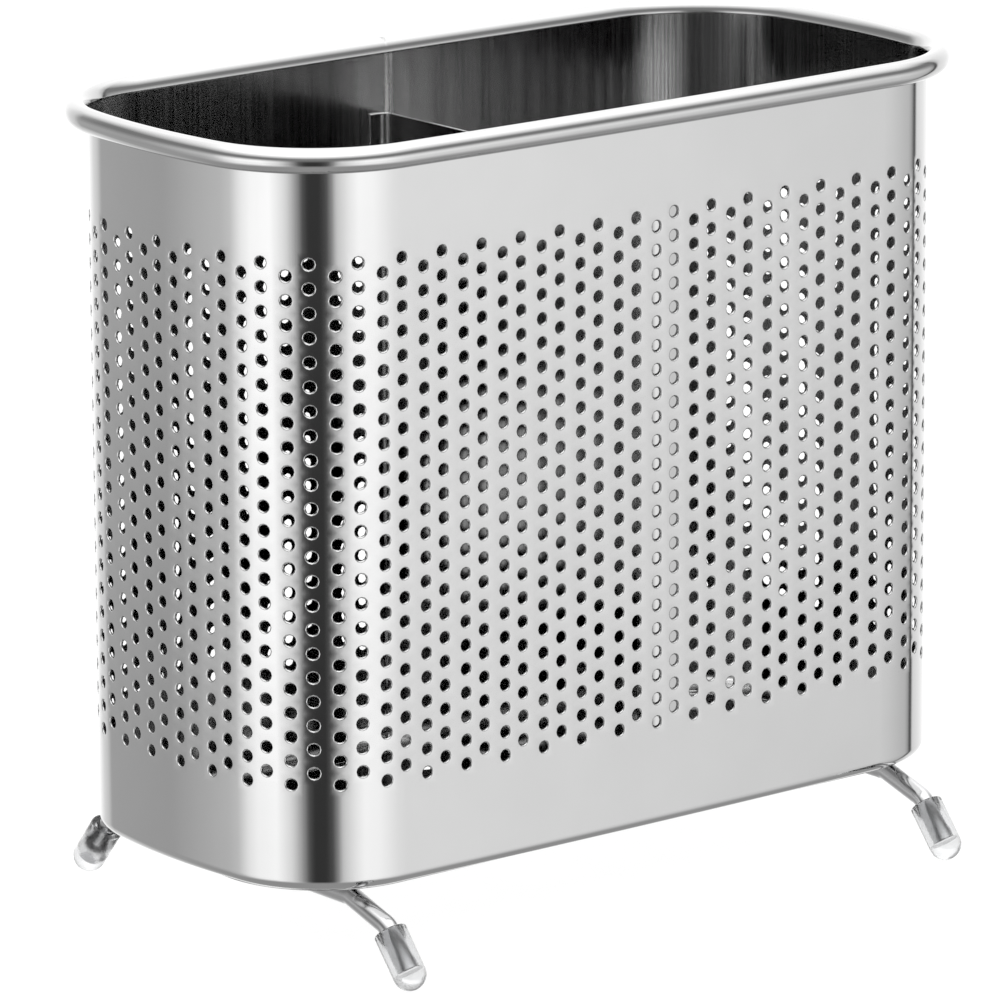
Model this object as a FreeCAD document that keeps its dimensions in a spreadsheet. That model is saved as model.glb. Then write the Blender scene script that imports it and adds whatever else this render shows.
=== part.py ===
import FreeCAD, Part
import math
import os
import Sketcher
from FreeCAD import Placement, Rotation, Vector

# Cutlery holder: a punched sheet shell with a rolled rim, on two wire legs with clear foot caps.
# Millimetres and degrees. X runs along the length, -Y is the front, Z is up from the surface it stands on.
SIZES = {
    # Shell: rounded rectangle in plan, measured on the outside of the walls
    "body_length": 184.0,
    "body_width": 88.5,
    "corner_radius": 28.0,
    "body_height": 154.5,
    "shell_sheet": 0.5,
    # Rolled rim: outside diameter of the bead and how far round the sheet is curled
    "rim_bead": 5.2,
    "rim_curl_angle": 300.0,
    # Lower edge: outside radius of the turn and the flat lip inside it
    "turn_radius": 2.5,
    "lip_width": 6.0,
    # Punched holes: even columns sit half a pitch higher, odd ones are a little off the even spacing
    "hole_diameter": 2.4,
    "hole_pitch": 5.0,
    "column_pitch": 5.0,
    "column_shift": 0.35,
    "column_count": 98,
    "holes_per_column": 22,
    "lowest_hole": 23.0,
    "seam_margin": 4.8,
    # Base plate under the lip
    "base_plate": 0.5,
    "base_inset": 3.5,
    "base_edge_round": 0.2,
    "drain_diameter": 5.0,
    "drain_pitch": 15.0,
    "drain_columns": 10,
    "drain_rows": 4,
    # Divider: web in the middle of the length, flanges bent opposite ways, the back one more gently
    "divider_sheet": 0.6,
    "divider_drop": 15.5,
    "divider_front_flange": 9.0,
    "divider_front_bend": 3.0,
    "divider_back_flange": 6.0,
    "divider_back_bend": 5.0,
    "divider_toe_side": 3.0,
    # Leg bows and foot caps
    "leg_height": 17.5,
    "leg_offset": 72.5,
    "wire_diameter": 4.2,
    "wire_bend": 4.0,
    "shoulder_start": 36.0,
    "shoulder_angle": 17.0,
    "foot_angle": 40.0,
    "foot_reach": 55.0,
    "cap_diameter": 7.0,
    "cap_end": 4.0,
    "cap_mouth_round": 0.4,
    "cap_flat": 0.25,
    "cap_play": 0.05,
    # Clearance between pieces that are welded or seated, and how far cutting tools overrun
    "seat_gap": 0.03,
    "overrun": 2.0,
}
ENDS = {"left": -1, "right": 1}
SIDES = {"front": -1, "back": 1}

doc = FreeCAD.newDocument("cutlery_holder")
sheet = doc.addObject("Spreadsheet::Sheet", "Sizes")
for row, (alias, number) in enumerate(SIZES.items(), start=1):
    sheet.set(f"A{row}", alias)
    sheet.set(f"B{row}", str(number))
    sheet.setAlias(f"B{row}", alias)
doc.recompute()


def value(expression):
    """Number that an expression on the sheet gives."""
    return float(sheet.evalExpression(expression))


def size(alias):
    return float(sheet.get(alias))


# Heights and places that several pieces share, as expressions on the sheet
SHEET = "Sizes.shell_sheet"
LIP_UNDERSIDE = "(Sizes.leg_height + Sizes.base_plate)"
TURN_TOP = f"({LIP_UNDERSIDE} + Sizes.turn_radius)"
RIM_TOP = "(Sizes.leg_height + Sizes.body_height)"
RIM_CENTRE = f"({RIM_TOP} - Sizes.rim_bead / 2)"
BACK_FACE = "(Sizes.body_width / 2)"


def make_body(label):
    body = doc.addObject("PartDesign::Body", label)
    body.Label = label
    return body


def make_sketch(body, name, role, height=None):
    """Sketch on one of the body's own origin planes, raised along the plane's normal if a height is given."""
    sketch = body.newObject("Sketcher::SketchObject", name)
    plane = next(f for f in body.Origin.OriginFeatures if f.Role == role)
    sketch.AttachmentSupport = [(plane, "")]
    sketch.MapMode = "FlatFace"
    if height:
        sketch.setExpression("AttachmentOffset.Base.z", height)
    return sketch


def bind(sketch, constraint, expression):
    """Adds a dimension to a sketch and ties it to the sheet."""
    index = sketch.addConstraint(constraint)
    sketch.setExpression(f"Constraints[{index}]", expression)


def place_point(sketch, geometry, point, across, up):
    """Dimensions of a point from the sketch's origin; each sign is kept by measuring from the lesser side."""
    for kind, expression in (("DistanceX", across), ("DistanceY", up)):
        distance = value(expression)
        bind(sketch, Sketcher.Constraint(kind, -1, 1, geometry, point, distance), expression)


def add_chain(sketch, edges):
    """Closed chain of edges, each end on the next one's start. Arcs that run clockwise are given as reversed."""
    ids = [sketch.addGeometry(edge, False) for edge, _ in edges]
    for i, (_, is_reversed) in enumerate(edges):
        following = (i + 1) % len(edges)
        end = 1 if is_reversed else 2
        start = 2 if edges[following][1] else 1
        sketch.addConstraint(Sketcher.Constraint("Coincident", ids[i], end, ids[following], start))
    return ids


def rounded_rectangle(sketch, length, width, radius):
    """Outline centred on the sketch's origin: four sides joined by tangent corner arcs."""
    half_l, half_w, r = value(length) / 2, value(width) / 2, value(radius)
    in_l, in_w = half_l - r, half_w - r
    sides = []
    corners = []
    turns = ((1, -1), (1, 1), (-1, 1), (-1, -1))
    starts = (Vector(-in_l, -half_w), Vector(half_l, -in_w), Vector(in_l, half_w), Vector(-half_l, in_w))
    ends = (Vector(in_l, -half_w), Vector(half_l, in_w), Vector(-in_l, half_w), Vector(-half_l, -in_w))
    up = Vector(0, 0, 1)
    for i, (across, along) in enumerate(turns):
        sides.append(sketch.addGeometry(Part.LineSegment(starts[i], ends[i]), False))
        circle = Part.Circle(Vector(across * in_l, along * in_w), up, r)
        first = math.radians(90 * (i - 1))
        corners.append(sketch.addGeometry(Part.ArcOfCircle(circle, first, first + math.pi / 2), False))
    for i in range(4):
        sketch.addConstraint(Sketcher.Constraint("Tangent", sides[i], 2, corners[i], 1))
        sketch.addConstraint(Sketcher.Constraint("Tangent", corners[i], 2, sides[(i + 1) % 4], 1))
        sketch.addConstraint(Sketcher.Constraint("Vertical" if i % 2 else "Horizontal", sides[i]))
        if i:
            sketch.addConstraint(Sketcher.Constraint("Equal", corners[0], corners[i]))
    bind(sketch, Sketcher.Constraint("Radius", corners[0], r), radius)
    for side, kind, distance, expression in (
        (0, "DistanceY", -half_w, f"-({width}) / 2"),
        (1, "DistanceX", half_l, f"({length}) / 2"),
        (2, "DistanceY", half_w, f"({width}) / 2"),
        (3, "DistanceX", -half_l, f"-({length}) / 2"),
    ):
        bind(sketch, Sketcher.Constraint(kind, -1, 1, sides[side], 1, distance), expression)


def inset(expression, distance):
    return f"({expression} - 2 * {distance})"


def pad(body, sketch, name, length):
    feature = body.newObject("PartDesign::Pad", name)
    feature.Profile = sketch
    feature.setExpression("Length", length)
    return feature


def pipe(body, profile, path, name):
    """Sweeps a closed profile along all the edges of a path sketch."""
    feature = body.newObject("PartDesign::AdditivePipe", name)
    feature.Profile = profile
    feature.Spine = (path, [f"Edge{i + 1}" for i in range(path.GeometryCount)])
    return feature


def make_shell_blank():
    """Wall, rolled rim and turned-in lower edge of the shell, before punching."""
    body = make_body("shell_blank")
    wall_sketch = make_sketch(body, "wall_outline", "XY_Plane", TURN_TOP)
    rounded_rectangle(wall_sketch, "Sizes.body_length", "Sizes.body_width", "Sizes.corner_radius")
    rounded_rectangle(
        wall_sketch,
        inset("Sizes.body_length", SHEET),
        inset("Sizes.body_width", SHEET),
        f"(Sizes.corner_radius - {SHEET})",
    )
    pad(body, wall_sketch, "wall", f"{RIM_CENTRE} - {TURN_TOP}")

    path = make_sketch(body, "rim_path", "XY_Plane", RIM_CENTRE)
    rounded_rectangle(path, "Sizes.body_length", "Sizes.body_width", "Sizes.corner_radius")
    pipe(body, make_rim_profile(body), path, "rolled_rim")

    path = make_sketch(body, "turn_path", "XY_Plane", TURN_TOP)
    rounded_rectangle(path, "Sizes.body_length", "Sizes.body_width", "Sizes.corner_radius")
    pipe(body, make_turn_profile(body), path, "turned_edge")
    return body


def make_rim_profile(body):
    """Section of the curl on the back wall: it starts on the wall's top and closes towards the wall's outside."""
    sketch = make_sketch(body, "rim_profile", "YZ_Plane")
    outer_r = size("rim_bead") / 2
    inner_r = outer_r - size("shell_sheet")
    across = f"({BACK_FACE} + Sizes.rim_bead / 2 - {SHEET})"
    centre = Vector(value(across), value(RIM_CENTRE))
    up = Vector(0, 0, 1)
    tail = math.radians(180 - size("rim_curl_angle"))

    def at(radius, angle):
        return centre + Vector(radius * math.cos(angle), radius * math.sin(angle))

    outer, _, inner, _ = add_chain(
        sketch,
        (
            (Part.ArcOfCircle(Part.Circle(centre, up, outer_r), tail, math.pi), True),
            (Part.LineSegment(at(outer_r, tail), at(inner_r, tail)), False),
            (Part.ArcOfCircle(Part.Circle(centre, up, inner_r), tail, math.pi), False),
            (Part.LineSegment(at(inner_r, math.pi), at(outer_r, math.pi)), False),
        ),
    )
    sketch.addConstraint(Sketcher.Constraint("Coincident", outer, 3, inner, 3))
    place_point(sketch, outer, 3, across, RIM_CENTRE)
    bind(sketch, Sketcher.Constraint("Radius", outer, outer_r), "Sizes.rim_bead / 2")
    bind(sketch, Sketcher.Constraint("Radius", inner, inner_r), f"Sizes.rim_bead / 2 - {SHEET}")
    for arc in (outer, inner):
        sketch.addConstraint(Sketcher.Constraint("Horizontal", arc, 2, arc, 3))
        sweep = math.radians(size("rim_curl_angle"))
        bind(sketch, Sketcher.Constraint("Angle", arc, sweep), "Sizes.rim_curl_angle * 1 deg")
    return sketch


def make_turn_profile(body):
    """Section of the turned-in lower edge on the back wall, with its flat lip."""
    sketch = make_sketch(body, "turn_profile", "YZ_Plane")
    outer_r = size("turn_radius")
    inner_r = outer_r - size("shell_sheet")
    across = f"({BACK_FACE} - Sizes.turn_radius)"
    centre = Vector(value(across), value(TURN_TOP))
    lip_tip = centre.x - size("lip_width")
    low = centre.y - outer_r
    high = centre.y - inner_r
    up = Vector(0, 0, 1)
    outer, _, inner, _, end, under = add_chain(
        sketch,
        (
            (Part.ArcOfCircle(Part.Circle(centre, up, outer_r), -math.pi / 2, 0), False),
            (Part.LineSegment(centre + Vector(outer_r, 0), centre + Vector(inner_r, 0)), False),
            (Part.ArcOfCircle(Part.Circle(centre, up, inner_r), -math.pi / 2, 0), True),
            (Part.LineSegment(Vector(centre.x, high), Vector(lip_tip, high)), False),
            (Part.LineSegment(Vector(lip_tip, high), Vector(lip_tip, low)), False),
            (Part.LineSegment(Vector(lip_tip, low), Vector(centre.x, low)), False),
        ),
    )
    sketch.addConstraint(Sketcher.Constraint("Coincident", outer, 3, inner, 3))
    place_point(sketch, outer, 3, across, TURN_TOP)
    bind(sketch, Sketcher.Constraint("Radius", outer, outer_r), "Sizes.turn_radius")
    bind(sketch, Sketcher.Constraint("Radius", inner, inner_r), f"Sizes.turn_radius - {SHEET}")
    for arc in (outer, inner):
        sketch.addConstraint(Sketcher.Constraint("Horizontal", arc, 2, arc, 3))
        sketch.addConstraint(Sketcher.Constraint("Vertical", arc, 1, arc, 3))
    sketch.addConstraint(Sketcher.Constraint("Vertical", end))
    sketch.addConstraint(Sketcher.Constraint("Horizontal", under))
    sketch.addConstraint(Sketcher.Constraint("Horizontal", end, 1, inner, 1))
    bind(sketch, Sketcher.Constraint("DistanceX", under, 1, under, 2, size("lip_width")), "Sizes.lip_width")
    return sketch


def wall_place(distance):
    """Point on the outside of the wall and its outward direction, a distance along the wall from the seam.

    The seam is at the middle of the back wall, and the way round goes left end, front, right end.
    """
    half_l, half_w, r = size("body_length") / 2, size("body_width") / 2, size("corner_radius")
    in_l, in_w = half_l - r, half_w - r
    quarter = math.pi * r / 2
    corners = ((-in_l, in_w), (-in_l, -in_w), (in_l, -in_w), (in_l, in_w))
    runs = (in_l, 2 * in_w, 2 * in_l, 2 * in_w, in_l)
    start = Vector(0, half_w, 0)
    for i, run in enumerate(runs):
        turned = math.radians(90 * (i + 1))
        outward = Vector(math.cos(turned), math.sin(turned), 0)
        along = Vector(-outward.y, outward.x, 0)
        if distance <= run:
            return start + along * distance, outward
        distance -= run
        centre = Vector(*corners[i], 0)
        if distance <= quarter:
            turned += distance / r
            outward = Vector(math.cos(turned), math.sin(turned), 0)
            return centre + outward * r, outward
        distance -= quarter
        start = centre + along * r
    raise ValueError("the columns of holes run past the end of the sheet")


def make_punches():
    """One cylinder for each punched hole, square to the wall and through it."""
    depth = size("shell_sheet") + 2 * size("overrun")
    cylinders = []
    for column in range(int(size("column_count"))):
        is_low = column % 2
        along = size("seam_margin") + column * size("column_pitch") + is_low * size("column_shift")
        point, outward = wall_place(along)
        inside = point - outward * (size("shell_sheet") + size("overrun"))
        lowest = size("leg_height") + size("lowest_hole") + (1 - is_low) * size("hole_pitch") / 2
        for row in range(int(size("holes_per_column"))):
            foot = inside + Vector(0, 0, lowest + row * size("hole_pitch"))
            cylinders.append(Part.makeCylinder(size("hole_diameter") / 2, depth, foot, outward))
    punches = doc.addObject("Part::Feature", "punches")
    punches.Shape = Part.makeCompound(cylinders)
    return punches


def make_shell():
    """The punched shell."""
    blank = make_shell_blank()
    shell = doc.addObject("Part::Cut", "perforated_shell")
    shell.Label = "perforated_shell"
    shell.Base = blank
    shell.Tool = make_punches()
    return shell


def make_base_plate():
    """Flat plate under the lip, with drain holes in rows clear of the legs."""
    body = make_body("base_plate")
    outline = make_sketch(body, "base_outline", "XY_Plane", "Sizes.leg_height")
    rounded_rectangle(
        outline,
        inset("Sizes.body_length", "Sizes.base_inset"),
        inset("Sizes.body_width", "Sizes.base_inset"),
        "(Sizes.corner_radius - Sizes.base_inset)",
    )
    plate = pad(body, outline, "plate", "Sizes.base_plate")
    doc.recompute()

    rim = body.newObject("PartDesign::Fillet", "edge_round")
    underside = min(plate.Shape.Faces, key=lambda face: face.CenterOfMass.z)
    edges = [f"Edge{i}" for i, edge in enumerate(plate.Shape.Edges, start=1)
             if any(edge.isSame(other) for other in underside.Edges)]
    rim.Base = (plate, edges)
    rim.setExpression("Radius", "Sizes.base_edge_round")
    doc.recompute()

    drains = make_sketch(body, "drain_circle", "XY_Plane", "Sizes.leg_height")
    first_x = "(-(Sizes.drain_columns - 1) / 2 * Sizes.drain_pitch)"
    first_y = "(-(Sizes.drain_rows - 1) / 2 * Sizes.drain_pitch)"
    centre = Vector(value(first_x), value(first_y))
    circle = drains.addGeometry(Part.Circle(centre, Vector(0, 0, 1), size("drain_diameter") / 2), False)
    place_point(drains, circle, 3, first_x, first_y)
    bind(drains, Sketcher.Constraint("Diameter", circle, size("drain_diameter")), "Sizes.drain_diameter")
    drain = body.newObject("PartDesign::Pocket", "drain")
    drain.Profile = drains
    drain.Type = "ThroughAll"
    drain.Reversed = True
    doc.recompute()

    grid = body.newObject("PartDesign::MultiTransform", "drain_grid")
    grid.Originals = [drain]
    steps = []
    for axis, count in (("X_Axis", "drain_columns"), ("Y_Axis", "drain_rows")):
        step = body.newObject("PartDesign::LinearPattern", f"drain_{count}")
        origin_axis = next(f for f in body.Origin.OriginFeatures if f.Role == axis)
        step.Direction = (origin_axis, [""])
        step.setExpression("Occurrences", f"Sizes.{count}")
        step.setExpression("Length", f"(Sizes.{count} - 1) * Sizes.drain_pitch")
        steps.append(step)
    grid.Transformations = steps
    body.Tip = grid
    return body


def make_divider():
    """Sheet bent to a Z in plan: the back flange turns left, the front flange turns right."""
    body = make_body("divider")
    section = make_sketch(body, "divider_section", "XY_Plane", TURN_TOP)
    half = size("divider_sheet") / 2
    outside = f"({BACK_FACE} - {SHEET} - Sizes.seat_gap)"
    wall = value(outside)
    up = Vector(0, 0, 1)
    quarter = math.pi / 2
    bends = {side: size(f"divider_{side}_bend") for side in SIDES}
    tips = {side: size(f"divider_{side}_flange") for side in SIDES}
    chain = []
    # Up the right of the web to the back flange, then, as after a half turn, down its left to the front flange
    for side, other in (("back", "front"), ("front", "back")):
        turn = SIDES[side]
        tip = tips[side]
        centre_x = half + bends[side]
        centre_y = wall - 2 * half - bends[side]
        start_y = wall - 2 * half - bends[other]

        def at(x, y):
            return Vector(turn * x, turn * y)

        def arc(radius):
            first = 0 if turn == 1 else math.pi
            circle = Part.Circle(at(-centre_x, centre_y), up, radius)
            return Part.ArcOfCircle(circle, first, first + quarter)

        chain += [
            (Part.LineSegment(at(half, -start_y), at(half, centre_y)), False),
            (arc(bends[side] + 2 * half), False),
            (Part.LineSegment(at(-centre_x, wall), at(-tip, wall)), False),
            (Part.LineSegment(at(-tip, wall), at(-tip, wall - 2 * half)), False),
            (Part.LineSegment(at(-tip, wall - 2 * half), at(-centre_x, wall - 2 * half)), False),
            (arc(bends[side]), True),
        ]
    ids = add_chain(section, chain)
    sheet_half = "Sizes.divider_sheet / 2"
    for side, edges in (("back", ids[:6]), ("front", ids[6:])):
        sign = SIDES[side]
        web, outer, seat, end, inside, inner = edges
        for line in (web, end):
            section.addConstraint(Sketcher.Constraint("Vertical", line))
        for line in (seat, inside):
            section.addConstraint(Sketcher.Constraint("Horizontal", line))
        section.addConstraint(Sketcher.Constraint("Coincident", outer, 3, inner, 3))
        for bent in (outer, inner):
            section.addConstraint(Sketcher.Constraint("Horizontal", bent, 1, bent, 3))
            section.addConstraint(Sketcher.Constraint("Vertical", bent, 2, bent, 3))
        bind(section, Sketcher.Constraint("Radius", inner, bends[side]), f"Sizes.divider_{side}_bend")
        bind(section, Sketcher.Constraint("DistanceX", -1, 1, web, 1, sign * half), f"{sheet_half} * {sign}")
        bind(section, Sketcher.Constraint("DistanceY", -1, 1, seat, 2, sign * wall), f"{outside} * {sign}")
        bind(section, Sketcher.Constraint("DistanceX", -1, 1, end, 2, -sign * tips[side]),
             f"-Sizes.divider_{side}_flange * {sign}")
    pad(body, section, "web_and_flanges", f"{RIM_TOP} - Sizes.divider_drop - {TURN_TOP}")

    # Toe of the web between the lips, standing on the base plate
    toe_section = make_sketch(body, "toe_section", "XY_Plane", LIP_UNDERSIDE)
    toe = f"({BACK_FACE} - Sizes.turn_radius - Sizes.lip_width - Sizes.divider_toe_side)"
    rectangle(toe_section, sheet_half, toe)
    pad(body, toe_section, "toe", f"{TURN_TOP} - {LIP_UNDERSIDE}")
    return body


def rectangle(sketch, half_width, half_depth):
    """Rectangle centred on the sketch's origin."""
    x, y = value(half_width), value(half_depth)
    corners = (Vector(-x, -y), Vector(x, -y), Vector(x, y), Vector(-x, y))
    lines = add_chain(sketch, [(Part.LineSegment(corners[i], corners[(i + 1) % 4]), False) for i in range(4)])
    for i, line in enumerate(lines):
        sketch.addConstraint(Sketcher.Constraint("Vertical" if i % 2 else "Horizontal", line))
    for line, point, kind, distance, expression in (
        (lines[0], 1, "DistanceX", -x, f"-({half_width})"),
        (lines[0], 1, "DistanceY", -y, f"-({half_depth})"),
        (lines[2], 1, "DistanceX", x, half_width),
        (lines[2], 1, "DistanceY", y, half_depth),
    ):
        bind(sketch, Sketcher.Constraint(kind, -1, 1, line, point, distance), expression)


def leg_points():
    """Middle, shoulder, ankle and tip of half a leg's centre line, as distance outward and height.

    The ankle is where the sloping shoulder meets the foot's line through the middle of the cap's round tip.
    """
    height = size("leg_height") - size("seat_gap") - size("wire_diameter") / 2
    start = size("shoulder_start")
    slope = math.tan(math.radians(size("shoulder_angle")))
    lean = math.tan(math.radians(size("foot_angle")))
    tip_height = size("cap_diameter") / 2 - size("cap_flat")
    rise = height - tip_height - slope * (size("foot_reach") - start)
    ankle_height = tip_height + rise / (1 - slope * lean)
    ankle = (size("foot_reach") - lean * (ankle_height - tip_height), ankle_height)
    return (0, height), (start, height), ankle, (size("foot_reach"), tip_height)


def make_leg_bow(end):
    """Round wire across the base from front to back: half is swept, and the other half mirrors it."""
    label = f"leg_bow_{end}"
    body = make_body(label)
    middle, shoulder, ankle, tip = (Vector(-y, z) for y, z in leg_points())
    foot = (tip - ankle).normalize()
    wire_end = tip + foot * (size("cap_diameter") / 2 - size("cap_end"))
    path = make_sketch(body, f"path_{end}", "YZ_Plane")
    before, after = bent_corner(middle, shoulder, ankle)
    before_foot, after_foot = bent_corner(shoulder, ankle, wire_end)
    up = Vector(0, 0, 1)
    for edge in (
        Part.LineSegment(middle, before),
        bend_arc(before, shoulder, after),
        Part.LineSegment(after, before_foot),
        bend_arc(before_foot, ankle, after_foot),
        Part.LineSegment(after_foot, wire_end),
    ):
        path.addGeometry(edge, False)
    for i in range(path.GeometryCount):
        path.addConstraint(Sketcher.Constraint("Block", i))

    section = make_sketch(body, f"section_{end}", "XZ_Plane")
    radius = size("wire_diameter") / 2
    circle = section.addGeometry(Part.Circle(Vector(0, middle.y), up, radius), False)
    place_point(section, circle, 3, "0", "Sizes.leg_height - Sizes.seat_gap - Sizes.wire_diameter / 2")
    bind(section, Sketcher.Constraint("Diameter", circle, 2 * radius), "Sizes.wire_diameter")
    half = pipe(body, section, path, f"half_{end}")
    doc.recompute()

    whole = body.newObject("PartDesign::Mirrored", f"whole_{end}")
    whole.Originals = [half]
    plane = next(f for f in body.Origin.OriginFeatures if f.Role == "XZ_Plane")
    whole.MirrorPlane = (plane, [""])
    body.Tip = whole
    body.setExpression("Placement.Base.x", f"Sizes.leg_offset * {ENDS[end]}")
    return body


def bent_corner(start, corner, end):
    """Points where a bend of the wire's radius leaves and meets the two runs at a corner."""
    into = (corner - start).normalize()
    out = (end - corner).normalize()
    turn = math.acos(into.dot(out))
    reach = size("wire_bend") * math.tan(turn / 2)
    return corner - into * reach, corner + out * reach


def bend_arc(before, corner, after):
    """Arc tangent to both runs of a corner, from one tangent point to the other."""
    chord = (before + after) / 2
    towards = (chord - corner).normalize()
    centre = corner + towards * math.hypot(size("wire_bend"), (before - corner).Length)
    middle = centre - towards * size("wire_bend")
    return Part.Arc(before, middle, after)


def make_foot_cap(side, end):
    """Clear sleeve with a round closed tip, flat where it stands."""
    name = f"foot_cap_{side}_{end}"
    body = make_body(f"{name}_sleeve")
    shoulder, ankle, tip = (Vector(0, y, z) for y, z in leg_points()[1:])
    _, mouth = bent_corner(shoulder, ankle, tip)
    length = (mouth - tip).Length - size("cap_play")
    outer_r = size("cap_diameter") / 2
    bore_r = size("wire_diameter") / 2 + size("cap_play")
    floor = size("cap_end") - outer_r - size("cap_play")
    rounding = size("cap_mouth_round")
    up = Vector(0, 0, 1)
    origin = Vector(0, 0)
    # Half section about the sleeve's axis: round tip, outside, rounded mouth, bore, closed end
    profile = make_sketch(body, f"{name}_profile", "XZ_Plane")
    mouth_centre = Vector(outer_r - rounding, length - rounding)
    add_chain(
        profile,
        (
            (Part.ArcOfCircle(Part.Circle(origin, up, outer_r), -math.pi / 2, 0), False),
            (Part.LineSegment(Vector(outer_r, 0), Vector(outer_r, length - rounding)), False),
            (Part.ArcOfCircle(Part.Circle(mouth_centre, up, rounding), 0, math.pi / 2), False),
            (Part.LineSegment(Vector(outer_r - rounding, length), Vector(bore_r, length)), False),
            (Part.LineSegment(Vector(bore_r, length), Vector(bore_r, floor)), False),
            (Part.LineSegment(Vector(bore_r, floor), Vector(0, floor)), False),
            (Part.LineSegment(Vector(0, floor), Vector(0, -outer_r)), False),
        ),
    )
    turned = body.newObject("PartDesign::Revolution", f"{name}_turned")
    turned.Profile = profile
    turned.ReferenceAxis = (profile, ["V_Axis"])
    lean = Rotation(Vector(1, 0, 0), size("foot_angle") * SIDES[side])
    place = Vector(ENDS[end] * size("leg_offset"), SIDES[side] * tip.y, tip.z)
    body.Placement = Placement(place, lean)

    floor_block = doc.addObject("Part::Box", f"{name}_floor")
    for edge in ("Length", "Width"):
        floor_block.setExpression(edge, "2 * Sizes.cap_diameter")
    floor_block.setExpression("Height", "Sizes.cap_diameter")
    corner = place - Vector(size("cap_diameter"), size("cap_diameter"), place.z + size("cap_diameter"))
    floor_block.Placement = Placement(corner, Rotation())
    cap = doc.addObject("Part::Cut", name)
    cap.Label = name
    cap.Base = body
    cap.Tool = floor_block
    return cap


pieces = [make_shell(), make_base_plate(), make_divider()]
pieces += [make_leg_bow(end) for end in ENDS]
pieces += [make_foot_cap(side, end) for side in SIDES for end in ENDS]
doc.recompute()

for item in doc.Objects:
    if {"Invalid", "Error"} & set(item.State):
        raise RuntimeError(f"{item.Label} failed: {item.State}")
for piece in pieces:
    if piece.Shape.isNull() or not piece.Shape.isValid():
        raise RuntimeError(f"{piece.Label} has no valid shape")

os.makedirs("parts", exist_ok=True)
for piece in pieces:
    piece.Shape.exportStep(f"parts/{piece.Label}.step")
    box = piece.Shape.BoundBox
    print(piece.Label, len(piece.Shape.Solids), "solid", round(piece.Shape.Volume, 2), "mm3",
          [round(v, 2) for v in (box.XMin, box.XMax, box.YMin, box.YMax, box.ZMin, box.ZMax)])
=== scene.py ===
import math

import bpy
import numpy as np
from mathutils import Matrix, Vector


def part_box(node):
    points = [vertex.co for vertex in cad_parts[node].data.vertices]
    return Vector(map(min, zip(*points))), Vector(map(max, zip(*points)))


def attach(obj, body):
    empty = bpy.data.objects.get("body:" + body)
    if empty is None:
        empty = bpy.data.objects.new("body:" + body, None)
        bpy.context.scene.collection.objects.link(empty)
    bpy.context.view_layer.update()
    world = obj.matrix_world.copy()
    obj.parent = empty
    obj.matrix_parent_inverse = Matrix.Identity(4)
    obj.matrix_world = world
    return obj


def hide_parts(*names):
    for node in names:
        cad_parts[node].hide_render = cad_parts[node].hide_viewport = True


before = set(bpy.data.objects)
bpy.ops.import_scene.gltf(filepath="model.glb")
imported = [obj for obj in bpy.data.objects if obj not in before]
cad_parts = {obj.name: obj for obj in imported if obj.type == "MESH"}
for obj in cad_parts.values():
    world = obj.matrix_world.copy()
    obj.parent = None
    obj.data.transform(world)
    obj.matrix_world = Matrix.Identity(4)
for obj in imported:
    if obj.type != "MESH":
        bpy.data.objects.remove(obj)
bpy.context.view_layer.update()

# Cutlery holder: punched sheet shell, base plate, divider, two wire legs and four clear foot caps.
# Sizes are in millimetres and angles in degrees, unless a name says otherwise. The scene is in metres.
MM = 0.001
shell_low, shell_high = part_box("perforated_shell")

# Shell: one sheet with a rolled rim and a turned-in lower edge
SHEET = 0.5
RIM_RADIUS = 2.6
RIM_FLARE = 0.6
RIM_CURL = 300
RIM_STEPS = 30
HIDDEN_RIM_STEPS = 10
TURN_RADIUS = 2.5
TURN_STEPS = 6
LIP_WIDTH = 6.0
BOX_CLEARANCE = 0.02
RIM_STANDOUT = 2 * RIM_RADIUS - SHEET
HALF_LENGTH = shell_high.x / MM - RIM_STANDOUT - BOX_CLEARANCE
HALF_WIDTH = shell_high.y / MM - RIM_STANDOUT - BOX_CLEARANCE
RIM_CENTRE = shell_high.z / MM - RIM_RADIUS - BOX_CLEARANCE
LIP_UNDERSIDE = shell_low.z / MM
TURN_TOP = LIP_UNDERSIDE + TURN_RADIUS

# Outline in plan: shallow arcs for the four sides, tight arcs for the corners
CORNER_RADIUS = 26.3
FRONT_CROWN = 2790.0
END_CROWN = 153.0

# Punched holes: columns alternate low and high by half a pitch
HOLE_RADIUS = 1.2
HOLE_LIP = 0.34
LIP_DEPTH = 0.2
LIP_TILT = 72
DIMPLE_TILT = 2
HOLE_PITCH = 5.0
HOLES_PER_COLUMN = 22
LOWEST_HOLE = 40.5
COLUMNS = 98
COLUMN_PITCH = 5.011
FRONT_COLUMN = 1.348
LOW_COLUMN_SHIFT = 0.352
RING_SIDES = 12
INNER_RING_SIDES = 8

# Weld seam down the back wall, with a nick where it crosses the rim
SEAM_OFFSET = 1.0
SEAM_HALF_WIDTH = 0.95
SEAM_HEIGHT = 0.26
SEAM_NICK = 0.45
SEAM_LINES = (-0.8, -0.45, 0.0, 0.45, 0.8)
SEAM_MARGIN = 1.25
NICK_REACH = SEAM_MARGIN / 4

# Divider
DIVIDER_SHEET = 0.6
FRONT_BEND = 3.0
FRONT_FLANGE = 9.0
BACK_BEND = 1.8
BACK_FLANGE = 4.4
DIVIDER_TOE_SIDE = 3.0
SEAT_GAP = 0.03
EDGE_STEPS = 6
BEND_STEPS = 8

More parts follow.
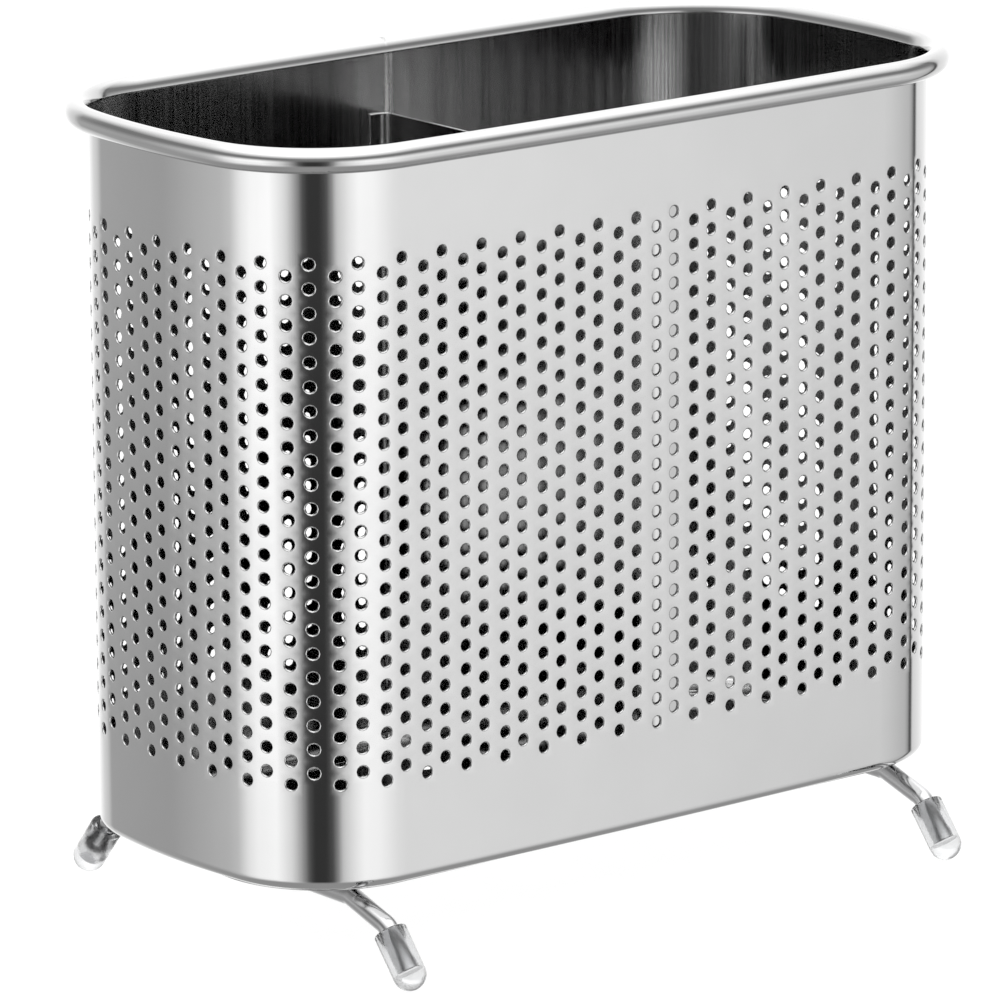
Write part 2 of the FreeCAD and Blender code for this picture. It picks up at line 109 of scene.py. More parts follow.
# Legs and foot caps
WIRE_RADIUS = 2.1
WIRE_BEND = 4.0
WIRE_SIDES = 24
SHOULDER_START = 36.0
SHOULDER_ANGLE = 17
FOOT_ANGLE = 40
FOOT_REACH = 55.0
LEG_OFFSET = 72.5
CAP_RADIUS = 3.5
CAP_END = 4.0
CAP_FLAT = 0.25
CAP_PLAY = 0.05
CAP_MOUTH_ROUND = 0.4
CAP_SIDES = 40
CAP_STEPS = 10

# Share of light that the steel gives back. Inside it is painted light: it changes with the distance from
# the middle of the back wall, with the right end on the positive side. It is darker than the outside as
# painted shade, and the weld and the right back corner are brightest as painted highlights and painted
# reflections.
OUTSIDE_SHINE = 0.655
DIVIDER_SHINE = 0.55
INSIDE_SHINE_AND_PAINTED_LIGHT = (
    (-123, 0.44), (-60, 0.45), (-38, 0.47), (-24, 0.32), (-13, 0.33), (-6, 0.66), (-0.2, 0.62), (0.1, 1.0),
    (0.6, 1.0), (1, 0.7), (1.4, 1.0), (1.9, 1.0), (2.2, 0.6), (6, 0.56), (12, 0.53), (20, 0.42), (31, 0.31),
    (42, 0.27), (53, 0.28), (68, 0.3), (70.5, 1.0), (78, 1.0), (81, 0.52), (86, 0.36), (91, 0.8),
    (96.5, 0.8), (98.5, 0.45), (105, 0.44), (123, 0.45),
)
SMUDGE_SHARE = (0.96, 1.04)

# Least and most roughness of each material, and the steel's extra share of it inside and on the weld.
# The inside also smears its reflections upright, a quarter turn from the way that the shader smears them.
STEEL_ROUGHNESS = (0.06, 0.11)
WIRE_ROUGHNESS = (0.1, 0.2)
PLASTIC_ROUGHNESS = (0.12, 0.19)
INSIDE_DULLNESS = 0.8
WELD_DULLNESS = 4.0
INSIDE_SMEAR = 0.85
QUARTER_TURN = 0.25

# Marks in the materials: how fine they are, per metre, and how deep, in metres. The grain is drawn out
# upright. Noise outside its range has no further effect on roughness.
GRAIN_SCALE = 1500
GRAIN_STRETCH = (1, 1, 0.02)
GRAIN_DEPTH = 0.000002
WAVE_SCALE = 18
WAVE_DEPTH = 0.00004
SMUDGE_SCALE = 60
WIRE_MARK_SCALE = 900
HAZE_SCALE = 300
NOISE_RANGE = (0.3, 0.7)

# Colours of the wire and the caps
WIRE_COLOUR = (0.6, 0.6, 0.605, 1)
PLASTIC_COLOUR = (0.8, 0.805, 0.81, 1)
PLASTIC_IOR = 1.45

# Camera of the photograph, fitted to the rows of holes
IMAGE_SIDE = 1002
FOCAL_PIXELS = 7869.5
CAMERA_AZIMUTH = -38.687
CAMERA_ELEVATION = 13.964
CAMERA_ROLL = 0.318
CAMERA_PLACE = (-1006.85, -1252.22, 479.14)
SENSOR_WIDTH = 36.0

# Light round the object by bearing from the camera and by height above the horizon. The dark gap between
# walls and ceiling is left out on the far side: it fades in between two shares of the way to the camera.
WALL_LIGHT = (
    (-180, 1.4), (-155, 1.25), (-143, 0.98), (-132, 0.82), (-125, 0.54), (-104, 0.49), (-84, 0.8),
    (-72, 1.22), (-62, 1.42), (-43, 1.5), (-29, 1.08), (-24.5, 0.82), (-18, 0.42), (-13, 0.13),
    (-8, 0.065), (2, 0.065), (8, 0.12), (12.5, 0.36), (17.4, 0.88), (22.7, 1.04), (28, 1.22), (37, 1.44),
    (51, 1.4), (66, 1.2), (77, 1.05), (84, 0.92), (114, 0.7), (119, 0.5), (122.5, 0.1), (125, 0.1),
    (128.5, 1.0), (180, 1.4),
)
LOW_WALL_SHARE = 0.91
LOW_WALL_HEIGHTS = (-19, -11)
DARK_GAP_LIGHT = 0.28
GAP_HEIGHTS = (-3, 15, 26, 55)
GAP_SIDE = (-0.7, -0.45)
CEILING_LIGHT = 1.8
FLOOR_LIGHT = 0.4
FLOOR_HEIGHTS = (-48, -30)

# Pale surface under the feet, in metres
FLOOR_REACH = 3.0
FLOOR_DROP = 0.0001
FLOOR_COLOUR = (0.12, 0.12, 0.12, 1)
FLOOR_ROUGHNESS = 0.9
FLOOR_GLOW = 0.95

# Brightness below which the picture is black
BLACK_LEVEL = 0.01


def unit(angle):
    """Direction at an angle in degrees, in a plane."""
    return math.cos(math.radians(angle)), math.sin(math.radians(angle))


def circles_meet(first, first_radius, second, second_radius):
    """Point with the larger x where two circles cross."""
    apart = second - first
    distance = np.hypot(*apart)
    along = (first_radius**2 - second_radius**2 + distance**2) / (2 * distance)
    aside = math.sqrt(first_radius**2 - along**2)
    direction = apart / distance
    normal = np.array([-direction[1], direction[0]])
    ways = [first + along * direction + side * aside * normal for side in (-1, 1)]
    return max(ways, key=lambda point: point[0])


class Outline:
    """Outside of the wall in plan, as three arcs and their mirror images.

    Distances along it run from the middle of the front towards the right end.
    """

    def __init__(self, half_length, half_width):
        front = np.array([0.0, FRONT_CROWN - half_width])
        end = np.array([half_length - END_CROWN, 0.0])
        corner = circles_meet(front, FRONT_CROWN - CORNER_RADIUS, end, END_CROWN - CORNER_RADIUS)
        first_turn = math.atan2(corner[0] - front[0], front[1] - corner[1])
        second_turn = math.atan2(corner[0] - end[0], end[1] - corner[1])
        self.centres = np.array([front, corner, end])
        self.radii = np.array([FRONT_CROWN, CORNER_RADIUS, END_CROWN])
        self.turns = np.array([0.0, first_turn, second_turn])
        lengths = self.radii * np.diff([*self.turns, math.pi / 2])
        self.starts = np.array([0.0, lengths[0], lengths[0] + lengths[1]])
        self.quarter = lengths.sum()
        self.length = 4 * self.quarter

    def at(self, along):
        """Points on the outline and outward directions at distances along it."""
        half = 2 * self.quarter
        wrapped = (np.asarray(along, float) + half) % self.length - half
        distance = np.abs(wrapped)
        is_back = distance > self.quarter
        distance = np.where(is_back, half - distance, distance)
        arc = np.searchsorted(self.starts[1:], distance)
        turn = self.turns[arc] + (distance - self.starts[arc]) / self.radii[arc]
        outward = np.stack([np.sin(turn), -np.cos(turn)], axis=-1)
        point = self.centres[arc] + self.radii[arc][..., None] * outward
        mirror = np.stack([np.where(wrapped < 0, -1, 1), np.where(is_back, -1, 1)], axis=-1)
        return point * mirror, outward * mirror


outline = Outline(HALF_LENGTH, HALF_WIDTH)


def make_piece(name, vertices, faces, normals, material, slot, replaces, **shares):
    """Mesh object from millimetre vertices, riding on the one body. Shares are kept at its points."""
    mesh = bpy.data.meshes.new(name)
    mesh.from_pydata(np.asarray(vertices, float) * MM, [], faces)
    mesh.polygons.foreach_set("use_smooth", [True] * len(mesh.polygons))
    mesh.materials.append(material)
    mesh.update()
    mesh.normals_split_custom_set_from_vertices(np.asarray(normals, float))
    for share, numbers in shares.items():
        mesh.attributes.new(share, "FLOAT", "POINT").data.foreach_set("value", numbers)
    piece = bpy.data.objects.new(name, mesh)
    bpy.context.scene.collection.objects.link(piece)
    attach(piece, "root")
    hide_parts(replaces)
    return piece


def stitch(first, second):
    """Triangles or quads between two loops that start at the same angle and turn the same way."""
    if len(first) == len(second):
        following = zip(first, first[1:] + first[:1], second[1:] + second[:1], second)
        return [list(corners) for corners in following]
    faces = []
    i = j = 0
    while i < len(first) or j < len(second):
        a, b = first[i % len(first)], second[j % len(second)]
        if (i + 1) * len(second) <= (j + 1) * len(first):
            i += 1
            faces.append([a, first[i % len(first)], b])
        else:
            j += 1
            faces.append([a, second[j % len(second)], b])
    return faces


class Sheet:
    """The shell under construction, in the flat sheet's own coordinates.

    A vertex is a distance along the wall, an offset outward from the wall's outside and a height. Its
    normal has the same three parts. OUTSIDE and INSIDE are the two faces of the sheet.
    """

    OUTSIDE, INSIDE = 0, 1

    def __init__(self):
        self.vertices = []
        self.normals = []
        self.shine = []
        self.dullness = []
        self.faces = []
        self.grid = {}

    def vertex(self, place, normal, is_inside=False, dullness=INSIDE_DULLNESS):
        self.vertices.append(place)
        self.normals.append(normal)
        # Inside points take painted shade and painted highlights; outside points take the steel's own
        # share.
        self.shine.append(inside_shine(place[0]) if is_inside else OUTSIDE_SHINE)
        self.dullness.append(dullness if is_inside else 0.0)
        return len(self.vertices) - 1

    def add(self, side, faces):
        """Faces given as seen from outside; those on the inside are turned over."""
        self.faces += [face[::-1] for face in faces] if side == self.INSIDE else faces

    def solid(self):
        """Vertices and normals in space."""
        along, out, height = np.array(self.vertices).T
        point, outward = outline.at(along)
        tangent = np.stack([-outward[:, 1], outward[:, 0]], axis=-1)
        places = np.column_stack([point + out[:, None] * outward, height])
        parts = np.array(self.normals)
        flat = parts[:, :1] * tangent + parts[:, 1:2] * outward
        return places, np.column_stack([flat, parts[:, 2]])


def inside_shine(along):
    """Share of light that the inside of the wall gives back at a distance along it, with painted shade and
    painted highlights in it.
    """
    half = outline.length / 2
    wrapped = (along + half) % outline.length - half
    from_seam = half - wrapped if wrapped > 0 else -half - wrapped
    return float(np.interp(from_seam, *zip(*INSIDE_SHINE_AND_PAINTED_LIGHT)))


def column_places():
    """Distance along the wall of each column of holes, and whether it is a low one."""
    places = []
    for count in range(-COLUMNS // 2, COLUMNS // 2):
        is_low = count % 2 == 0
        places.append((FRONT_COLUMN + count * COLUMN_PITCH + is_low * LOW_COLUMN_SHIFT, is_low))
    return places


def sheet_lines(columns, seam):
    """Upright lines of the sheet's mesh: both edges and the middle of each column, then the seam's own."""
    edges = [(a[0] + b[0]) / 2 for a, b in zip(columns, columns[1:])]
    edges = [seam - outline.length + SEAM_MARGIN, *edges, seam - SEAM_MARGIN]
    lines = []
    for (place, _), edge in zip(columns, edges):
        lines += [edge, place]
    return [*lines, edges[-1], *(seam + offset for offset in SEAM_LINES)]


def seam_ridge(distance):
    """Height of the weld at a distance from its middle, and its slope."""
    share = distance / SEAM_HALF_WIDTH
    if abs(share) >= 1:
        return 0.0, 0.0
    fall = 1 - share**2
    return SEAM_HEIGHT * fall**2, -4 * SEAM_HEIGHT * fall * share / SEAM_HALF_WIDTH


def edge_rows(side):
    """Rows of the turned-in lower edge and of the rolled rim, from the lip's end to the curl's end.

    Each row has an offset outward, a height and the two parts of its normal.
    """
    inner = side == Sheet.INSIDE
    face = -1 if inner else 1
    radius = TURN_RADIUS - SHEET * inner
    lower = [(-TURN_RADIUS - LIP_WIDTH, TURN_TOP - radius, 0, -face)]
    for step in range(TURN_STEPS + 1):
        c, s = unit(-90 + 90 * step / TURN_STEPS)
        lower.append((-TURN_RADIUS + radius * c, TURN_TOP + radius * s, face * c, face * s))
    radius = RIM_RADIUS - SHEET * (not inner)
    upper = []
    steps = RIM_STEPS if inner else HIDDEN_RIM_STEPS
    for step in range(steps + 1):
        turned = RIM_CURL * step / steps
        c, s = unit(180 - turned)
        flare = RIM_FLARE if turned < 90 else 0
        upright = (radius + flare) / radius
        height = RIM_CENTRE - flare + radius * upright * s
        way = Vector((c * upright, s)).normalized() * -face
        upper.append((RIM_RADIUS - SHEET + radius * c, height, way.x, way.y))
    return lower, upper


def punch(sheet, middle, height, corners, inner_corners):
    """One hole: a rolled lip outside, a straight wall and an edge inside, joined to its cell's corners."""
    outer_lip, inner_lip, inside = [], [], []
    dimple_out, dimple_in = unit(DIMPLE_TILT)
    tilt_out, tilt_in = unit(LIP_TILT)
    for i in range(RING_SIDES):
        c, s = unit(360 * i / RING_SIDES)
        wide = HOLE_RADIUS + HOLE_LIP
        normal = (-dimple_in * c, dimple_out, -dimple_in * s)
        outer_lip.append(sheet.vertex((middle + wide * c, 0, height + wide * s), normal))
        place = (middle + HOLE_RADIUS * c, -LIP_DEPTH, height + HOLE_RADIUS * s)
        inner_lip.append(sheet.vertex(place, (-tilt_in * c, tilt_out, -tilt_in * s)))
    for i in range(INNER_RING_SIDES):
        c, s = unit(360 * i / INNER_RING_SIDES)
        place = (middle + HOLE_RADIUS * c, -SHEET, height + HOLE_RADIUS * s)
        inside.append(sheet.vertex(place, (0, -1, 0), True))
    sheet.add(sheet.OUTSIDE, stitch(corners, outer_lip))
    sheet.add(sheet.OUTSIDE, stitch(outer_lip, inner_lip))
    sheet.add(sheet.OUTSIDE, stitch(inner_lip, inside))
    sheet.add(sheet.INSIDE, stitch(inner_corners, inside))


def make_shell(material):
    """Perforated wall, rolled rim and turned-in lower edge as one closed mesh."""
    sheet = Sheet()
    seam = outline.length / 2 - SEAM_OFFSET
    columns = column_places()
    lines = sheet_lines(columns, seam)
    ridges = []
    for place in lines:
        distance = (place - seam + outline.length / 2) % outline.length - outline.length / 2
        ridges.append((distance, *seam_ridge(distance)))
    levels = 2 * HOLES_PER_COLUMN + 1
    half_pitch = HOLE_PITCH / 2
    lowest_level = LOWEST_HOLE - half_pitch

    def on_wall(side, line, level):
        """Vertex on a line of the wall's mesh, a number of half pitches up."""
        key = side, line % len(lines), level
        if key not in sheet.grid:
            along, height = lines[key[1]], lowest_level + level * half_pitch
            if side == sheet.INSIDE:
                _, ridge, slope = ridges[key[1]]
                dullness = WELD_DULLNESS if slope else INSIDE_DULLNESS
                spot = sheet.vertex((along, -SHEET - ridge, height), (-slope, -1, 0), True, dullness)
            else:
                spot = sheet.vertex((along, 0, height), (0, 1, 0))
            sheet.grid[key] = spot
        return sheet.grid[key]

    def wall_quads(side, line, low, high):
        corners = ((line, low), (line + 1, low), (line + 1, high), (line, high))
        sheet.add(side, [[on_wall(side, *corner) for corner in corners]])

    for column, (middle, is_low) in enumerate(columns):
        left, centre, right = 2 * column, 2 * column + 1, 2 * column + 2
        first = 0 if is_low else 1
        for hole in range(HOLES_PER_COLUMN):
            low = first + 2 * hole
            mid, high = low + 1, low + 2
            around = (
                (right, mid), (right, high), (centre, high), (left, high),
                (left, mid), (left, low), (centre, low), (right, low),
            )
            outer, inner = (
                [on_wall(side, *corner) for corner in around] for side in (sheet.OUTSIDE, sheet.INSIDE)
            )
            punch(sheet, middle, lowest_level + mid * half_pitch, outer, inner)
        spare = (levels - 1, levels) if is_low else (0, 1)
        for side in (sheet.OUTSIDE, sheet.INSIDE):
            for line in (left, centre):
                wall_quads(side, line, *spare)
    for line in range(2 * COLUMNS, len(lines)):
        for level in range(levels):
            for side in (sheet.OUTSIDE, sheet.INSIDE):
                wall_quads(side, line, level, level + 1)

    ends = []
    for side in (sheet.OUTSIDE, sheet.INSIDE):
        lower, upper = edge_rows(side)
        bottom = [on_wall(side, line, 0) for line in range(len(lines))]
        top = [on_wall(side, line, levels) for line in range(len(lines))]
        loops = []
        for row, (out, height, normal_out, normal_up) in enumerate((*lower, *upper)):
            loop = []
            is_inside = side == sheet.INSIDE and row <= len(lower)
            for place, (distance, _, _) in zip(lines, ridges):
                nick = SEAM_NICK if abs(distance) < NICK_REACH and height > RIM_CENTRE else 0
                spot = (place, out - nick * normal_out, height - nick * normal_up)
                loop.append(sheet.vertex(spot, (0, normal_out, normal_up), is_inside))
            loops.append(loop)
        chain = [*loops[: len(lower)], bottom], [top, *loops[len(lower):]]
        for rows in chain:
            for below, above in zip(rows, rows[1:]):
                sheet.add(side, stitch(below, above))
        ends.append((loops[0], loops[-1]))
    (outer_lip, outer_curl), (inner_lip, inner_curl) = ends
    sheet.add(sheet.OUTSIDE, stitch(inner_lip, outer_lip))
    sheet.add(sheet.OUTSIDE, stitch(outer_curl, inner_curl))
    vertices, normals = sheet.solid()
    # The shares kept at the points carry painted shade and painted highlights for the inside of the wall.
    return make_piece(
        "perforated_shell_sheet", vertices, sheet.faces, normals, material,
        "polished_sheet", "perforated_shell", shine=sheet.shine, dullness=sheet.dullness,
    )


def rounded_path(points, radii, steps):
    """Points along straight runs with an arc of the given radius at each inner corner."""
    path = [Vector(points[0])]
    for before, corner, after, radius in zip(points, points[1:], points[2:], radii):
        corner = Vector(corner)
        back, ahead = (Vector(before) - corner).normalized(), (Vector(after) - corner).normalized()
        half = back.angle(ahead) / 2
        centre = corner + (back + ahead).normalized() * radius / math.sin(half)
        start = corner + back * radius / math.tan(half) - centre
        end = corner + ahead * radius / math.tan(half) - centre
        turn = start.angle(end)
        for step in range(steps + 1):
            share = step / steps
            way = start * math.sin((1 - share) * turn) + end * math.sin(share * turn)
            path.append(centre + way / math.sin(turn))
    return [*path, Vector(points[-1])]


def path_directions(path):
    """Direction of the path at each of its points."""
    directions = []
    for i in range(len(path)):
        before, after = path[max(i - 1, 0)], path[min(i + 1, len(path) - 1)]
        directions.append((after - before).normalized())
    return directions


def make_divider(material):
    """Sheet bent to a Z in plan, with a rounded top edge, and a toe that stands on the base plate."""
    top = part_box("divider")[1].z / MM
    half = DIVIDER_SHEET / 2
    seat = HALF_WIDTH - SHEET - SEAT_GAP - half
    plan = [(FRONT_FLANGE, -seat, 0), (0, -seat, 0), (0, seat, 0), (-BACK_FLANGE, seat, 0)]
    path = rounded_path(plan, (FRONT_BEND + half, BACK_BEND + half), BEND_STEPS)
    section = [(-1, 0, TURN_TOP)]
    for step in range(EDGE_STEPS + 1):
        c, s = unit(180 - 180 * step / EDGE_STEPS)
        section.append((c, s, top - half + half * s))
    section.append((1, 0, TURN_TOP))
    vertices, normals, faces = [], [], []
    for place, direction in zip(path, path_directions(path)):
        aside = Vector((direction.y, -direction.x, 0))
        for across, up, height in section:
            vertices.append((*(place + aside * across * half).xy, height))
            normals.append((*(aside * across).xy, up))
    width = len(section)
    for i in range(len(path) - 1):
        for j in range(width):
            a, b = i * width + j, i * width + (j + 1) % width
            faces.append([a, b, b + width, a + width])
    last = (len(path) - 1) * width
    faces.append(list(range(width))[::-1])
    faces.append([last + j for j in range(width)])

    toe = HALF_WIDTH - TURN_RADIUS - LIP_WIDTH - DIVIDER_TOE_SIDE
    base = len(vertices)
    for height in (LIP_UNDERSIDE, TURN_TOP):
        for across, reach in ((-1, -1), (1, -1), (1, 1), (-1, 1)):
            vertices.append((across * half, reach * toe, height))
            normals.append((across, 0, 0))
    around = [(0, 1, 5, 4), (1, 2, 6, 5), (2, 3, 7, 6), (3, 0, 4, 7), (3, 2, 1, 0), (4, 5, 6, 7)]
    faces += [[base + corner for corner in face] for face in around]
    return make_piece("divider_sheet", vertices, faces, normals, material, "polished_sheet", "divider")


def leg_points():
    """Shoulder, ankle and tip of half a leg, as distance outward and height."""
    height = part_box("leg_bow_left")[1].z / MM - WIRE_RADIUS
    slope, lean = math.tan(math.radians(SHOULDER_ANGLE)), math.tan(math.radians(FOOT_ANGLE))
    tip_height = CAP_RADIUS - CAP_FLAT
    rise = height - tip_height - slope * (FOOT_REACH - SHOULDER_START)
    ankle_height = tip_height + rise / (1 - slope * lean)
    ankle = (FOOT_REACH - lean * (ankle_height - tip_height), ankle_height)
    return (SHOULDER_START, height), ankle, (FOOT_REACH, tip_height)


def make_leg(end, sign, material):
    """Bent wire from one foot to the other under the base."""
    shoulder, ankle, tip = leg_points()
    foot = (Vector(tip) - Vector(ankle)).normalized()
    wire_end = Vector(tip) + foot * (CAP_RADIUS - CAP_END)
    half = [tuple(wire_end), ankle, shoulder]
    points = [(0, -y, z) for y, z in half] + [(0, y, z) for y, z in reversed(half)]
    path = rounded_path(points, [WIRE_BEND] * 4, BEND_STEPS)
    vertices, normals, faces = [], [], []
    for place, direction in zip(path, path_directions(path)):
        aside = Vector((1, 0, 0))
        up = aside.cross(direction)
        for i in range(WIRE_SIDES):
            c, s = unit(360 * i / WIRE_SIDES)
            way = aside * c + up * s
            vertices.append(place + Vector((sign * LEG_OFFSET, 0, 0)) + way * WIRE_RADIUS)
            normals.append(way)
    loops = [list(range(i * WIRE_SIDES, (i + 1) * WIRE_SIDES)) for i in range(len(path))]
    for here, following in zip(loops, loops[1:]):
        faces += stitch(following, here)
    faces += [loops[0], loops[-1][::-1]]
    name = f"leg_wire_{end}"
    return make_piece(name, vertices, faces, normals, material, "bright_wire", f"leg_bow_{end}")


def make_cap(side, side_sign, end, end_sign, material):
    """Clear sleeve with a round closed tip and a bore for the wire, flat where it stands."""
    shoulder, ankle, tip = (Vector(point) for point in leg_points())
    ahead, back = (ankle - tip).normalized(), (shoulder - ankle).normalized()
    half = (-ahead).angle(back) / 2
    length = (ankle - tip).length - WIRE_BEND / math.tan(half) - CAP_PLAY
    bore = WIRE_RADIUS + CAP_PLAY
    floor = CAP_END - CAP_RADIUS - CAP_PLAY
    profile = []
    for step in range(1, CAP_STEPS + 1):
        c, s = unit(-90 + 90 * step / CAP_STEPS)
        profile.append((CAP_RADIUS * c, CAP_RADIUS * s, c, s))
    for step in range(CAP_STEPS + 1):
        c, s = unit(90 * step / CAP_STEPS)
        inset = CAP_RADIUS - CAP_MOUTH_ROUND
        profile.append((inset + CAP_MOUTH_ROUND * c, length - CAP_MOUTH_ROUND * (1 - s), c, s))
    profile += [(bore, length, -0.7, 0.7), (bore, floor, -1, 0)]
    axis = Vector((0, side_sign * ahead.x, ahead.y))
    across = Vector((1, 0, 0))
    aside = axis.cross(across)
    centre = Vector((end_sign * LEG_OFFSET, side_sign * tip.x, tip.y))
    vertices, normals, faces = [], [], []
    for radius, height, normal_out, normal_up in profile:
        for i in range(CAP_SIDES):
            c, s = unit(360 * i / CAP_SIDES)
            way = across * c + aside * s
            vertices.append(centre + way * radius + axis * height)
            normals.append(way * normal_out + axis * normal_up)
    loops = [list(range(i * CAP_SIDES, (i + 1) * CAP_SIDES)) for i in range(len(profile))]
    for here, following in zip(loops, loops[1:]):
        faces += stitch(here, following)
    for loop, height, way in ((loops[0][::-1], -CAP_RADIUS, -1), (loops[-1], floor, 1)):
        pole = len(vertices)
        vertices.append(centre + axis * height)
        normals.append(axis * way)
        faces += [[a, b, pole] for a, b in zip(loop, loop[1:] + loop[:1])]
    for vertex in vertices:
        vertex.z = max(vertex.z, 0)
    name = f"foot_cap_{side}_{end}"
    return make_piece(f"{name}_sleeve", vertices, faces, normals, material, "clear_plastic", name)


def add_node(tree, kind, inputs=None, **settings):
    """Node with its settings, and with each input set to a value or linked to another node's output."""
    node = tree.nodes.new(kind)
    for key, setting in settings.items():
        setattr(node, key, setting)
    for key, given in (inputs or {}).items():
        if isinstance(given, bpy.types.NodeSocket):
            tree.links.new(given, node.inputs[key])
        else:
            node.inputs[key].default_value = given
    return node


def new_material(name, **constants):
    """Material with a Principled shader whose given sockets are set."""
    material = bpy.data.materials.new(name)
    material.use_nodes = True
    shader = material.node_tree.nodes["Principled BSDF"]
    for key, constant in constants.items():
        shader.inputs[key.replace("_", " ")].default_value = constant
    return material, material.node_tree, shader


def mapped(tree, value, source, target=(0.0, 1.0)):
    """A value carried from one range to another, and held at the ends of the second."""
    inputs = {"Value": value, "From Min": source[0], "From Max": source[1]}
    inputs |= {"To Min": target[0], "To Max": target[1]}
    return add_node(tree, "ShaderNodeMapRange", inputs).outputs[0]


def worked_out(tree, operation, *values):
    """Result of a sum or other operation on the given values."""
    return add_node(tree, "ShaderNodeMath", dict(enumerate(values)), operation=operation).outputs[0]


def noise(tree, place, scale, detail):
    """Noise at a place, with finer detail in so many steps."""
    inputs = {"Vector": place, "Scale": scale, "Detail": detail}
    return add_node(tree, "ShaderNodeTexNoise", inputs).outputs[0]


def own_place(tree):
    """Place in the object's own space, in metres."""
    return add_node(tree, "ShaderNodeTexCoord").outputs["Object"]


def mesh_share(tree, name):
    """A share that the mesh keeps at each of its points, or 0 where it keeps none."""
    return add_node(tree, "ShaderNodeAttribute", attribute_name=name).outputs["Fac"]


def sheet_steel(name, shine=None):
    """Polished stainless sheet: fine upright grain, gentle waviness and faint smudges.

    Without a shine of its own, it takes that of the mesh it is put on, with the painted shade and painted
    highlights that the mesh keeps, as it does dullness.
    """
    material, tree, shader = new_material(name, Metallic=1.0, Anisotropic_Rotation=QUARTER_TURN)
    place = own_place(tree)
    upright = add_node(tree, "ShaderNodeMapping", {"Vector": place, "Scale": GRAIN_STRETCH}).outputs[0]
    grain = noise(tree, upright, GRAIN_SCALE, 3)
    clean = mapped(tree, noise(tree, place, SMUDGE_SCALE, 4), (0, 1), SMUDGE_SHARE)
    if shine is None:
        shine = mesh_share(tree, "shine")
    # Base colour: the share times faint smudges, with painted shade and painted highlights on the inside of
    # the wall.
    tree.links.new(worked_out(tree, "MULTIPLY", shine, clean), shader.inputs["Base Color"])
    dullness = mesh_share(tree, "dullness")
    extra = worked_out(tree, "ADD", dullness, 1.0)
    rough = worked_out(tree, "MULTIPLY", mapped(tree, grain, NOISE_RANGE, STEEL_ROUGHNESS), extra)
    tree.links.new(rough, shader.inputs["Roughness"])
    smear = mapped(tree, dullness, (0, INSIDE_DULLNESS), (0, INSIDE_SMEAR))
    tree.links.new(smear, shader.inputs["Anisotropic"])
    waves = noise(tree, place, WAVE_SCALE, 1)
    wavy = add_node(tree, "ShaderNodeBump", {"Height": waves, "Strength": 1.0, "Distance": WAVE_DEPTH})
    fine = {"Height": grain, "Strength": 1.0, "Distance": GRAIN_DEPTH, "Normal": wavy.outputs[0]}
    tree.links.new(add_node(tree, "ShaderNodeBump", fine).outputs[0], shader.inputs["Normal"])
    return material


def wire_steel():
    """Bright drawn wire with faint marks."""
    material, tree, shader = new_material("bright_wire", Metallic=1.0, Base_Color=WIRE_COLOUR)
    marks = noise(tree, own_place(tree), WIRE_MARK_SCALE, 2)
    tree.links.new(mapped(tree, marks, NOISE_RANGE, WIRE_ROUGHNESS), shader.inputs["Roughness"])
    return material


def clear_plastic():
    """Clear soft plastic, a little cloudy."""
    material, tree, shader = new_material(
        "clear_plastic", IOR=PLASTIC_IOR, Base_Color=PLASTIC_COLOUR, Transmission_Weight=1.0
    )
    haze = noise(tree, own_place(tree), HAZE_SCALE, 2)
    tree.links.new(mapped(tree, haze, NOISE_RANGE, PLASTIC_ROUGHNESS), shader.inputs["Roughness"])
    return material


def camera_axes():
    """Right, up and backward directions of the photograph's camera."""
    azimuth, elevation = math.radians(CAMERA_AZIMUTH), math.radians(CAMERA_ELEVATION)
    flat = math.cos(elevation)
    back = Vector((math.sin(azimuth) * flat, -math.cos(azimuth) * flat, math.sin(elevation)))
    right = Vector((0, 0, 1)).cross(back).normalized()
    up = back.cross(right)
    c, s = unit(CAMERA_ROLL)
    return c * right - s * up, s * right + c * up, back


def make_camera():
    """Camera of the photograph."""
    data = bpy.data.cameras.new("camera")
    data.sensor_width = SENSOR_WIDTH
    data.lens = FOCAL_PIXELS / IMAGE_SIDE * SENSOR_WIDTH
    camera = bpy.data.objects.new("camera", data)
    turn = Matrix(camera_axes()).transposed().to_4x4()
    camera.matrix_world = Matrix.Translation(Vector(CAMERA_PLACE) * MM) @ turn
    bpy.context.scene.collection.objects.link(camera)
    bpy.context.scene.camera = camera


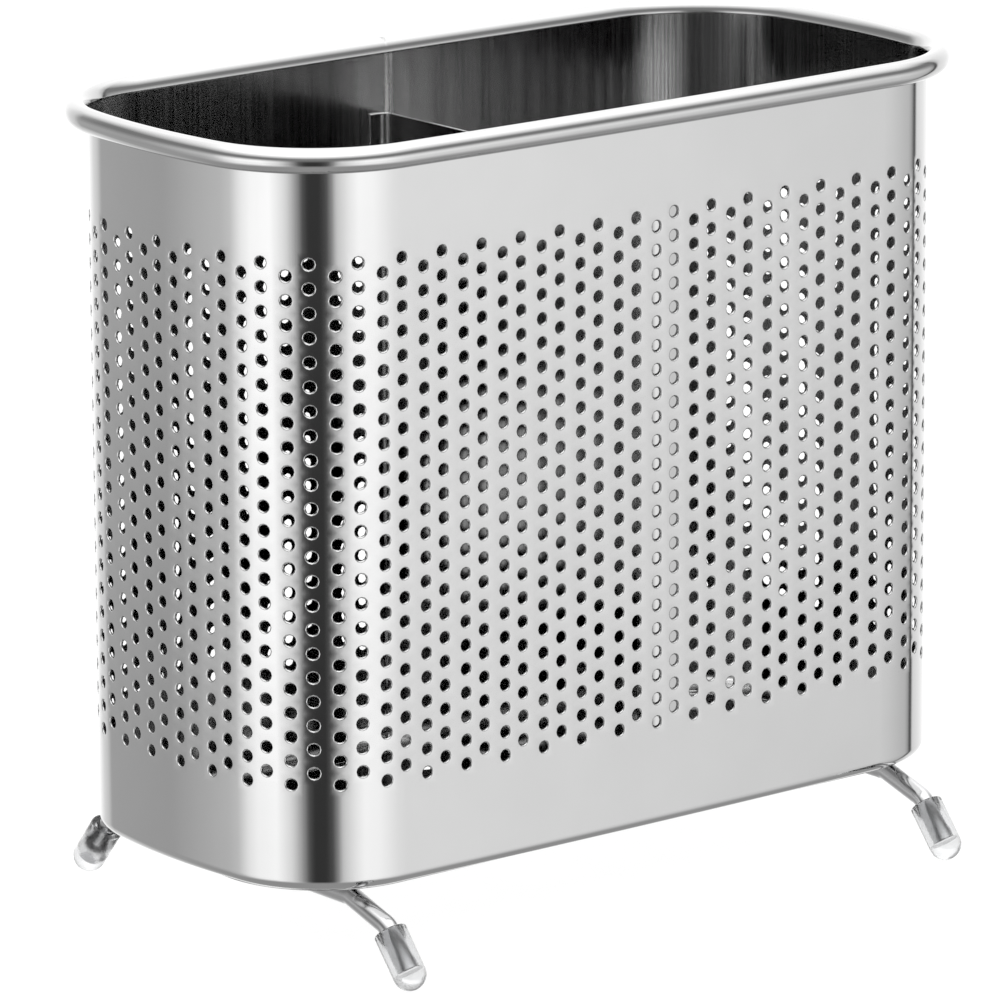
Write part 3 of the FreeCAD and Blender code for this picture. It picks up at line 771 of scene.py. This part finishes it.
def make_world():
    """Studio light by bearing and height.

    Bright walls stand on both sides of a dark strip at the camera. Above them are a dark gap and a broad
    bright ceiling, and the floor is dim.
    """
    world = bpy.data.worlds.new("studio")
    bpy.context.scene.world = world
    world.use_nodes = True
    tree = world.node_tree
    way = add_node(tree, "ShaderNodeTexCoord").outputs["Generated"]
    back = camera_axes()[2]
    turn = {"Vector": way, "Angle": -math.atan2(back.y, back.x)}
    turned = add_node(tree, "ShaderNodeVectorRotate", turn, rotation_type="Z_AXIS").outputs[0]
    to_camera, across, up = add_node(tree, "ShaderNodeSeparateXYZ", {"Vector": turned}).outputs
    bearing = worked_out(tree, "ARCTAN2", across, to_camera)
    rise = worked_out(tree, "ARCSINE", up)

    def climb(heights, target=(0.0, 1.0)):
        """Change from one value to another between two heights."""
        return mapped(tree, rise, [math.radians(height) for height in heights], target)

    def mixed(share, first, second):
        """Second light by its share, and first light for the rest."""
        return add_node(tree, "ShaderNodeMix", {0: share, 2: first, 3: second}).outputs[0]

    ramp = add_node(tree, "ShaderNodeValToRGB", {"Fac": mapped(tree, bearing, (-math.pi, math.pi))})
    stops = ramp.color_ramp.elements
    while len(stops) < len(WALL_LIGHT):
        stops.new(0.5)
    strongest = max(light for _, light in WALL_LIGHT)
    for stop, (angle, light) in zip(stops, WALL_LIGHT):
        stop.position = (angle + 180) / 360
        stop.color = (light / strongest,) * 3 + (1,)
    strength = climb(LOW_WALL_HEIGHTS, (strongest * LOW_WALL_SHARE, strongest))
    walls = worked_out(tree, "MULTIPLY", ramp.outputs["Color"], strength)
    in_gap = worked_out(tree, "MULTIPLY", climb(GAP_HEIGHTS[:2]), mapped(tree, to_camera, GAP_SIDE))
    lower = mixed(in_gap, walls, DARK_GAP_LIGHT)
    upper = mixed(climb(GAP_HEIGHTS[2:]), lower, CEILING_LIGHT)
    background = tree.nodes["Background"]
    background.inputs["Color"].default_value = (1, 1, 1, 1)
    tree.links.new(mixed(climb(FLOOR_HEIGHTS), FLOOR_LIGHT, upper), background.inputs["Strength"])


def make_floor():
    """Plain white surface that the holder stands on, lit from within like a light table."""
    mesh = bpy.data.meshes.new("floor")
    ways = ((-1, -1), (1, -1), (1, 1), (-1, 1))
    corners = [(x * FLOOR_REACH, y * FLOOR_REACH, -FLOOR_DROP) for x, y in ways]
    mesh.from_pydata(corners, [], [(0, 1, 2, 3)])
    material, _, _ = new_material(
        "pale_floor", Roughness=FLOOR_ROUGHNESS, Base_Color=FLOOR_COLOUR,
        Emission_Color=(1, 1, 1, 1), Emission_Strength=FLOOR_GLOW,
    )
    mesh.materials.append(material)
    floor = bpy.data.objects.new("floor", mesh)
    bpy.context.scene.collection.objects.link(floor)
    floor.visible_glossy = False


def set_tones():
    """Plain tones, with the darkest ones black."""
    view = bpy.context.scene.view_settings
    view.view_transform = "Standard"
    view.use_curve_mapping = True
    view.curve_mapping.black_level = (BLACK_LEVEL,) * 3
    view.curve_mapping.update()


wire, plastic = wire_steel(), clear_plastic()
make_shell(sheet_steel("wall_steel"))
make_divider(sheet_steel("divider_steel", DIVIDER_SHINE))
base_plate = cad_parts["base_plate"].data
base_plate.materials.clear()
base_plate.materials.append(sheet_steel("base_steel", OUTSIDE_SHINE))
for end, sign in (("left", -1), ("right", 1)):
    make_leg(end, sign, wire)
    for side, side_sign in (("front", -1), ("back", 1)):
        make_cap(side, side_sign, end, sign, plastic)
make_floor()
make_world()
make_camera()
set_tones()
